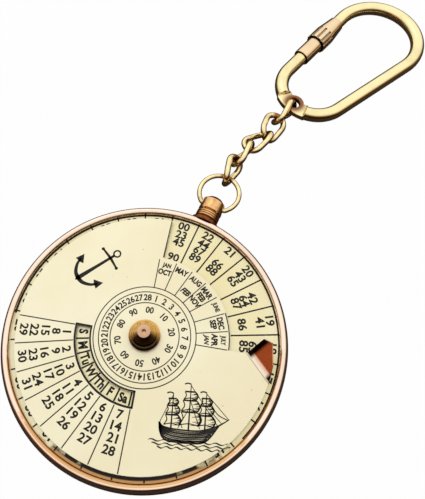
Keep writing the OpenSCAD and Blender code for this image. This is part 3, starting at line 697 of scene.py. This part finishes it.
def drill(obj, profile, place):
    """Cuts a turned tool, given by its profile and place, out of a piece and keeps the cut mesh."""
    material = obj.data.materials[0]
    verts, faces = turned(profile, 64, place)
    bit = bpy.data.objects.new("bit", bpy.data.meshes.new("bit"))
    bit.data.from_pydata([v * MM for v in verts], [], faces)
    bm = bmesh.new()
    bm.from_mesh(bit.data)
    bmesh.ops.recalc_face_normals(bm, faces=bm.faces)
    bm.to_mesh(bit.data)
    bm.free()
    bpy.context.scene.collection.objects.link(bit)
    cut = obj.modifiers.new("cut", "BOOLEAN")
    cut.object, cut.solver = bit, "EXACT"
    bpy.context.view_layer.update()
    cut_mesh = bpy.data.meshes.new_from_object(obj.evaluated_get(bpy.context.evaluated_depsgraph_get()))
    obj.modifiers.remove(cut)
    obj.data = cut_mesh
    bpy.data.objects.remove(bit)
    dress(obj, material, 40)


BOW_Y, BORE_R, SPOT_R, SPOT_X, BIT_REACH = 28.8, 0.5, 1.05, 2.12, 3
sideways = Matrix.Translation((0, BOW_Y, NECK_Z)) @ Matrix.Rotation(math.radians(90), 4, "Y")
half_bore = [(BORE_R, SPOT_X), (SPOT_R, SPOT_X), (SPOT_R, BIT_REACH), (0, BIT_REACH)]
drill(neck, [(r, -h) for r, h in reversed(half_bore)] + half_bore, sideways)
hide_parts("pendant_neck")


# Bow.
# A round loop of drawn brass wire, bent on a former. Its ends are turned in as pins and sprung into
# the pendant's cross bore, so that it swings.
BOW_WIRE, BOW_R, BOW_L, BOW_BEND, BOW_LEG, PIN_GAP = 0.92, 3.9, 7.0, 0.6, 0.4, 0.7


def swept(rings, closed=False):
    """Points and faces of a skin over rings of points, with flat ends where it isn't closed."""
    sides = len(rings[0])
    verts = [p for ring in rings for p in ring]
    faces = []
    for i in range(len(rings) if closed else len(rings) - 1):
        a, b = i * sides, (i + 1) % len(rings) * sides
        faces += [(a + k, a + (k + 1) % sides, b + (k + 1) % sides, b + k) for k in range(sides)]
    if not closed:
        faces += [tuple(reversed(range(sides))), tuple(range(len(verts) - sides, len(verts)))]
    return verts, faces


def level_wire(path, r, sides, section=None):
    """Rings round a level path, with slightly rounded ends. section may reshape a ring."""
    rings = []
    for i, p in enumerate(path):
        way = (path[min(i + 1, len(path) - 1)] - path[max(i - 1, 0)]).normalized()
        out = Vector((way.y, -way.x, 0))
        for back, size in (((0.12, 0.8), (0.0, 1.0)) if i == 0 else ((0, 1),)):
            ring = []
            for k in range(sides):
                t = 2 * math.pi * k / sides
                across, rise = section(p, t) if section else (r * math.cos(t), r * math.sin(t))
                ring.append(p - way * (back * r) + out * (across * size) + Vector((0, 0, rise * size)))
            rings.append(ring)
    tip = [path[-1] + (q - path[-1]) * 0.8 + way * (0.12 * r) for q in rings[-1]]
    return rings + [tip]


bow_span = BOW_R - BOW_BEND
bow_reach = math.hypot(bow_span, BOW_LEG)
bow_turn = math.atan2(BOW_LEG, bow_span) + math.acos((BOW_L - BOW_R - BOW_BEND) / bow_reach)
bend_x = bow_span * math.sin(bow_turn) - BOW_LEG * math.cos(bow_turn)
bow_from = math.degrees(bow_turn) - 90
half_bow = [Vector((PIN_GAP, 0, 0)), Vector((1.5, 0, 0))]
half_bow += arc_points((bend_x, BOW_BEND), (BOW_BEND, BOW_BEND), -90, bow_from, 8)
half_bow += arc_points((0, BOW_L - BOW_R), (BOW_R, BOW_R), bow_from, 88, 36)
bow_path = half_bow + [Vector((-p.x, p.y, 0)) for p in reversed(half_bow)]
bow_at = Vector((0, BOW_Y, NECK_Z))
bow_rings = [[bow_at + q for q in ring] for ring in level_wire(bow_path, BOW_WIRE / 2, 24)]
# Drawn brass wire: bright yellow, with fine lengthwise die lines and painted shade browning the hooks
drawn_brass = tarnished_shaded_metal(
    "drawn_brass_wire", "#fde9b2", "#5a300c", 0.14, 1.8, 1.1, (0.15, 0.6, 0.15), 0.35)
bow = piece("bow", *swept(bow_rings), drawn_brass, "bow", "wire_brass")
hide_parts("bow_ring")


# Chain.
# Five oval links bent from brass wire, closed, then twisted so that the chain lies like a curb. Each
# link hooks into the one before, from the bow to the shackle's eye, and lies where the photo has it.
LINK_L, LINK_R, LINK_WIRE, TWIST, HOOK_ROOM = 6.0, 2.0, 1.2, 50, 0.2
WIRE_STEPS, WIRE_SIDES = 96, 20
HEADINGS, RISES, ROLLS = (1, 14, 30, 6, 18), (2, 1, 1, 1, 2), (85, 45, 5, -60, 57)


def heading(turn, rise):
    """The direction at an angle from +Y towards +X, and at a rise above the level."""
    h, e = math.radians(turn), math.radians(rise)
    return Vector((math.sin(h) * math.cos(e), math.cos(h) * math.cos(e), math.sin(e)))


hook, hook_line, hook_wire = Vector((0, BOW_Y + BOW_L, NECK_Z)), Vector((1, 0, 0)), BOW_WIRE
hooks = [hook]
straight, bend = LINK_L - 2 * LINK_R, math.pi * LINK_R
for link in range(5):
    along = heading(HEADINGS[link], RISES[link])
    side = along.cross(Vector((0, 0, 1))).normalized()
    rise = side.cross(along)

    def across(a):
        """The link's level direction at a distance from its middle, turned by the twist."""
        t = math.radians(ROLLS[link] + TWIST * (a / LINK_L + 0.5))
        return math.cos(t) * side + math.sin(t) * rise

    inward = hook_line.cross(across(-LINK_L / 2)).normalized()
    if inward.dot(along) < 0:
        inward = -inward
    near = hook - inward * ((hook_wire + LINK_WIRE) / 2 + HOOK_ROOM)
    line, outs = [], []
    for k in range(WIRE_STEPS):
        d = (straight + bend) * 2 * k / WIRE_STEPS
        sign = 1 if d < straight + bend else -1
        d -= 0 if sign == 1 else straight + bend
        t = max(d - straight, 0) / LINK_R
        a = d - straight / 2 if d < straight else straight / 2 + LINK_R * math.sin(t)
        b = LINK_R * math.cos(t)
        line.append(near + along * (sign * a + LINK_L / 2) + across(sign * a) * (sign * b))
        outs.append(along * (sign * math.sin(t)) + across(sign * a) * (sign * math.cos(t)))
    rings = []
    for k, p in enumerate(line):
        way = (line[(k + 1) % WIRE_STEPS] - line[k - 1]).normalized()
        beside = way.cross(outs[k]).normalized()
        out = beside.cross(way)
        turns = [2 * math.pi * s / WIRE_SIDES for s in range(WIRE_SIDES)]
        rings.append([p + (out * math.cos(t) + beside * math.sin(t)) * (LINK_WIRE / 2) for t in turns])
    wire = piece(f"link_wire_{link + 1}", *swept(rings, True), drawn_brass,
                 f"link_{link + 1}", "wire_brass")
    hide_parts(f"chain_link_{link + 1}")
    hook, hook_line, hook_wire = near + along * LINK_L, across(LINK_L / 2), LINK_WIRE
    hooks.append(hook)


def paint_hook_shade(material, points, reach, code):
    """Browns a metal with painted shade round some points, in mm, where pieces hang in each other."""
    tree = material.node_tree
    place = add(tree, "TexCoord", {}).outputs["Object"]
    share = 0.0
    for point in points:
        far = add(tree, "VectorMath", {0: place, 1: point * MM}, operation="DISTANCE")
        close = add(tree, "MapRange",
                    {"Value": far.outputs["Value"],
                     "From Min": reach * MM, "From Max": 0.65 * reach * MM, "To Max": 0.92})
        share = add(tree, "Math", {0: close, 1: share}, operation="MAXIMUM").outputs[0]
    mix_tone(material, share, code)


# painted shade: the wire browns round each hook, where the links hang in each other
paint_hook_shade(drawn_brass, hooks, 1.7, "#8f4f1c")


# Shackle.
# A brass rod bent into a long loop that widens away from the chain. Its chain end is hammered flat
# and drilled for the last link, and the loop has a gap that the screw lock bridges.
ROD, EYE_END_R, FAR_END_R, END_SPAN = 2.9, 7.1, 9.2, 20.2
EYE_T, EYE_SPREAD, EYE_HOLE, EYE_WALL, EYE_HOLE_R, EYE_HALF = 1.4, 0.15, 2.4, 0.8, 6.55, 23
EYE_FADE, RIM_WEAR = 4, 0.15
SLEEVE_START, SLEEVE_L, SLEEVE_HOLD = 4.5, 5.2, 1.0
shackle_way = heading(22.2, -0.9)
shackle_left = Vector((0, 0, 1)).cross(shackle_way).normalized()
shackle_place = Matrix.Translation(hook + shackle_way * EYE_HOLE_R) @ Matrix(
    (shackle_way, shackle_left, shackle_way.cross(shackle_left))).transposed().to_4x4()
taper = math.asin((FAR_END_R - EYE_END_R) / END_SPAN)
taper_deg = math.degrees(taper)
leg_way = Vector((math.cos(taper), math.sin(taper), 0))
leg_foot = Vector((-math.sin(taper), math.cos(taper), 0)) * EYE_END_R


def rod_section(p, t):
    """The rod's section: round, but flat, square-edged and wider round the drilled eye."""
    turn = abs(math.degrees(math.atan2(p.y, -p.x)))
    flat = 0.0
    if p.length < EYE_END_R + 0.1:
        flat = min(max((EYE_HALF + EYE_FADE - turn) / EYE_FADE, 0), 1)
        flat = flat * flat * (3 - 2 * flat)
    inner = outer = ROD / 2 + EYE_SPREAD * flat
    plate, reach = EYE_HOLE / 2 + EYE_WALL, EYE_HOLE_R * math.sin(math.radians(min(turn, 90)))
    if flat > 0 and reach < plate:
        edge = EYE_HOLE_R * math.cos(math.radians(turn)) - math.sqrt(plate ** 2 - reach ** 2)
        inner = max(inner, EYE_END_R - edge)
    power = 2 / (2 + 6 * flat)
    c, s = math.cos(t), math.sin(t)
    over = math.copysign(abs(c) ** power, c)
    height = (ROD / 2) * (1 - flat) + EYE_T / 2 * flat
    return over * (inner if c < 0 else outer), math.copysign(abs(s) ** power, s) * height


rod_path = [leg_foot + leg_way * (SLEEVE_START + SLEEVE_HOLD), leg_foot + leg_way * 2]
for bend_from, bend_to, steps in ((90 + taper_deg, 150, 12), (151, 209, 58), (210, 270 - taper_deg, 12)):
    rod_path += arc_points((0, 0), (EYE_END_R, EYE_END_R), bend_from, bend_to, steps)
rod_path += arc_points((END_SPAN, 0), (FAR_END_R, FAR_END_R), -90 - taper_deg, 90 + taper_deg, 56)
rod_path += [leg_foot + leg_way * (SLEEVE_START + SLEEVE_L - SLEEVE_HOLD)]
rod_rings = level_wire(rod_path, ROD / 2, 40, rod_section)
rod_rings = [[shackle_place @ q for q in ring] for ring in rod_rings]
# Bent brass rod, polished on a cloth wheel: nearly a mirror, with soft lengthwise lines
polished_brass = tarnished_shaded_metal(
    "polished_brass_rod", "#fff0b8", "#46300f", 0.12, 6, 0.8, (0.3, 1.2, 0.3), 0.2, 0.9)
# painted shade: the rod browns round its eye, where the last link passes through
paint_hook_shade(polished_brass, [hook], 2.9, "#83441a")
rod = piece("shackle_rod_bent", *swept(rod_rings), polished_brass, "shackle", "shackle_brass", 50)
rim_z = EYE_T / 2 - RIM_WEAR
half_hole = [(EYE_HOLE / 2, rim_z), (EYE_HOLE / 2 + 1, rim_z + 1), (0, rim_z + 1)]
drill(rod, [(r, -h) for r, h in reversed(half_hole)] + half_hole,
      shackle_place @ Matrix.Translation((-EYE_HOLE_R, 0, 0)))
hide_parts("shackle_rod")


# Screw lock.
# A plain sleeve that bridges the gap, and a thumb nut that screws along the rod behind it. Both are
# turned from brass bar; the nut's ring is cut with twelve flutes for the fingers.
LOCK_BORE, SLEEVE_R, NUT_R, FLUTE_L, TAPER_L, FLUTES, FLUTE_R = 1.5, 1.825, 2.3, 3.4, 4.5, 12, 0.25
lock_place = shackle_place @ Matrix.Translation(leg_foot) @ Matrix.Rotation(taper, 4, "Z")
lock_place = lock_place @ Matrix.Rotation(math.radians(90), 4, "Y")
LOCK_ROOM = 0.1
# Turned brass bar, buffed: rosy and nearly a mirror, with painted shade blackening the flutes and the ends
bar_brass = tarnished_shaded_metal(
    "turned_brass_bar", "#f8dab0", "#1c0c05", 0.11, 2.2, 0.7, (0.25, 0.25, 0.25), 0.15, 0.97, 0.22)
sleeve_profile = filleted([
    (LOCK_BORE, 0, 0.03), (SLEEVE_R, 0, 0.12), (SLEEVE_R, SLEEVE_L, 0.12), (LOCK_BORE, SLEEVE_L, 0.03),
])
sleeve_at = lock_place @ Matrix.Translation((0, 0, SLEEVE_START))
sleeve = piece("sleeve", *turned(sleeve_profile, 72, sleeve_at), bar_brass, "sleeve", "lock_brass")
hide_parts("lock_sleeve")


def fluted(r, h, turn):
    """The nut's radius with its round flutes cut into the ring."""
    if h > FLUTE_L + 0.02 or r < LOCK_BORE + 0.1:
        return r
    pitch = 2 * math.pi / FLUTES
    off = (turn + pitch / 2) % pitch - pitch / 2
    at = NUT_R + 0.15 * 2 * FLUTE_R
    miss = at * math.sin(off)
    if abs(miss) >= FLUTE_R:
        return r
    return min(r, at * math.cos(off) - math.sqrt(FLUTE_R ** 2 - miss ** 2))


nut_profile = filleted([
    (LOCK_BORE, 0, 0.03), (NUT_R, 0, 0.15), (NUT_R, FLUTE_L, 0), (NUT_R - 0.01, FLUTE_L + 0.05, 0),
    (LOCK_BORE + 0.2, FLUTE_L + TAPER_L, 0.05), (LOCK_BORE, FLUTE_L + TAPER_L, 0.03),
])
nut_at = lock_place @ Matrix.Translation((0, 0, SLEEVE_START + SLEEVE_L + LOCK_ROOM))
nut = piece("nut", *turned(nut_profile, 240, nut_at, fluted), bar_brass, "nut", "lock_brass", 30)
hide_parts("thumb_nut")


# Board and light.
# The keyring lies as on a sheet of clear glass, well above a white board, so that it has no shadow in
# sight. A dome of diffuser cloth lights it, and the metal also sees a dark mat and a brown card.
def stage_plane(name, size, at, turn, material):
    """A flat stage board, size in mm, with its face turned by Euler angles in degrees."""
    w, h = size[0] / 2, size[1] / 2
    mesh = bpy.data.meshes.new(name)
    corners = ((-w, -h, 0), (w, -h, 0), (w, h, 0), (-w, h, 0))
    mesh.from_pydata([Vector(p) * MM for p in corners], [], [(0, 1, 2, 3)])
    board = bpy.data.objects.new(name, mesh)
    board.location = Vector(at) * MM
    board.rotation_euler = [math.radians(a) for a in turn]
    mesh.materials.append(material)
    bpy.context.scene.collection.objects.link(board)
    return board


# White board: painted matt white, and white to the camera and in the metal
white_board = bpy.data.materials.new("white_painted_board")
white_board.use_nodes = True
BOARD_Z, BOARD_WHITE = -90, 0.96
board_tree = white_board.node_tree
board_tree.nodes.clear()
rays = add(board_tree, "LightPath", {})
looked_at = add(board_tree, "Math",
                {0: rays.outputs["Is Camera Ray"], 1: rays.outputs["Is Glossy Ray"]}, operation="MAXIMUM")
seen = add(board_tree, "Math",
           {0: looked_at, 1: rays.outputs["Is Transmission Ray"]}, operation="MAXIMUM")
part_white = add(board_tree, "Math", {0: seen, 1: BOARD_WHITE}, operation="MULTIPLY")
paint = add(board_tree, "BsdfDiffuse", {"Color": srgb("#f4f4f4")})
glow = add(board_tree, "Emission", {"Color": (1, 1, 1, 1), "Strength": 1.0})
upper = add(board_tree, "MixShader", {0: part_white, 1: paint, 2: glow})
# the board is clear from below, so that the keyring's back can be looked at
under = add(board_tree, "NewGeometry", {}).outputs["Backfacing"]
clear = add(board_tree, "BsdfTransparent", {})
surface = add(board_tree, "MixShader", {0: under, 1: upper, 2: clear})
add(board_tree, "OutputMaterial", {"Surface": surface})
stage_plane("table", (4000, 4000), (0, 0, BOARD_Z), (0, 0, 0), white_board)


def dark_card(name, code):
    """Matt card of one colour."""
    material = bpy.data.materials.new(name)
    material.use_nodes = True
    shader = material.node_tree.nodes["Principled BSDF"]
    shader.inputs["Base Color"].default_value = srgb(code)
    shader.inputs["Roughness"].default_value = 0.9
    return material


brown_card = dark_card("brown_card", "#c87f62")
dark_mat = dark_card("dark_mat", "#2c1a10")
# only the metal sees these two: they give it dark undersides and a warm near side
cards = [
    stage_plane("mat", (4200, 4200), (0, 0, BOARD_Z + 0.5), (0, 0, 0), dark_mat),
    stage_plane("card_left", (90, 90), (-84, -129, 110), (57, 0, -33), brown_card),
]
for card in cards:
    card.visible_camera = card.visible_shadow = card.visible_diffuse = False

# Diffuser cloth of a dome lit from behind the keyring: white there, brown and dim towards the camera
DOME_R = 3200
dome_mesh = bpy.data.meshes.new("diffuser_dome")
bm = bmesh.new()
bmesh.ops.create_uvsphere(bm, u_segments=96, v_segments=48, radius=DOME_R * MM)
bm.to_mesh(dome_mesh)
bm.free()
dome = bpy.data.objects.new("diffuser_dome", dome_mesh)
bpy.context.scene.collection.objects.link(dome)
dome.visible_camera = False
diffuser = bpy.data.materials.new("lit_diffuser_cloth")
diffuser.use_nodes = True
dome_mesh.materials.append(diffuser)
dome_tree = diffuser.node_tree
dome_tree.nodes.clear()
SKY_WAY = heading(-25, 64)
SKY_TONES = ((0.0, "#1a0c05"), (0.35, "#8a6440"), (0.62, "#ebebe6"), (1.0, "#ffffff"))
dome_spot = add(dome_tree, "TexCoord", {})
direction = add(dome_tree, "VectorMath", {0: dome_spot.outputs["Object"]}, operation="NORMALIZE")
nearness = add(dome_tree, "VectorMath", {0: direction, 1: SKY_WAY}, operation="DOT_PRODUCT")
bright = add(dome_tree, "MapRange",
             {"Value": nearness.outputs["Value"], "From Min": -0.1, "From Max": 0.76})
tone = add(dome_tree, "ValToRGB", {"Fac": bright})
for stop, (along_ramp, code) in enumerate(SKY_TONES):
    mark = tone.color_ramp.elements[0] if stop == 0 else tone.color_ramp.elements.new(along_ramp)
    mark.position, mark.color = along_ramp, srgb(code)
tone.color_ramp.elements.remove(tone.color_ramp.elements[-1])
cloth = add(dome_tree, "Emission", {"Color": tone, "Strength": 1.06})
add(dome_tree, "OutputMaterial", {"Surface": cloth})
room = bpy.data.worlds.new("white_room")
room.use_nodes = True
room.node_tree.nodes["Background"].inputs["Color"].default_value = srgb("#fdfdfd")
bpy.context.scene.world = room


def lamp(name, at, size, power):
    """A soft square lamp aimed at the dial."""
    data = bpy.data.lights.new(name, "AREA")
    data.shape, data.size, data.size_y, data.energy = "RECTANGLE", size[0] * MM, size[1] * MM, power
    obj = bpy.data.objects.new(name, data)
    obj.location = Vector(at) * MM
    obj.rotation_euler = (-obj.location).to_track_quat("-Z", "Y").to_euler()
    bpy.context.scene.collection.objects.link(obj)


lamp("softbox_key", (-160, 180, 320), (160, 160), 0.03)


# Camera.
# The photo's own view, fitted to it: from the front right and high above, with the frame shifted to
# the keyring.
view = bpy.data.cameras.new("photo_view")
view.sensor_width, view.lens = 36, 45.235
view.shift_x, view.shift_y = 0.0671, -0.0872
view.clip_start, view.clip_end = 0.005, 20
camera = bpy.data.objects.new("photo_view", view)
ROLL = math.radians(0.574)
CAMERA_AT, CAMERA_WAY = Vector((16.758, -22.134, 112.042)), heading(154.774, 64.059)
camera.matrix_world = Matrix.Translation(CAMERA_AT * MM) @ (
    CAMERA_WAY.to_track_quat("Z", "Y").to_matrix().to_4x4() @ Matrix.Rotation(ROLL, 4, "Z"))
bpy.context.scene.collection.objects.link(camera)
bpy.context.scene.camera = camera
bpy.context.scene.view_settings.view_transform = "Standard"
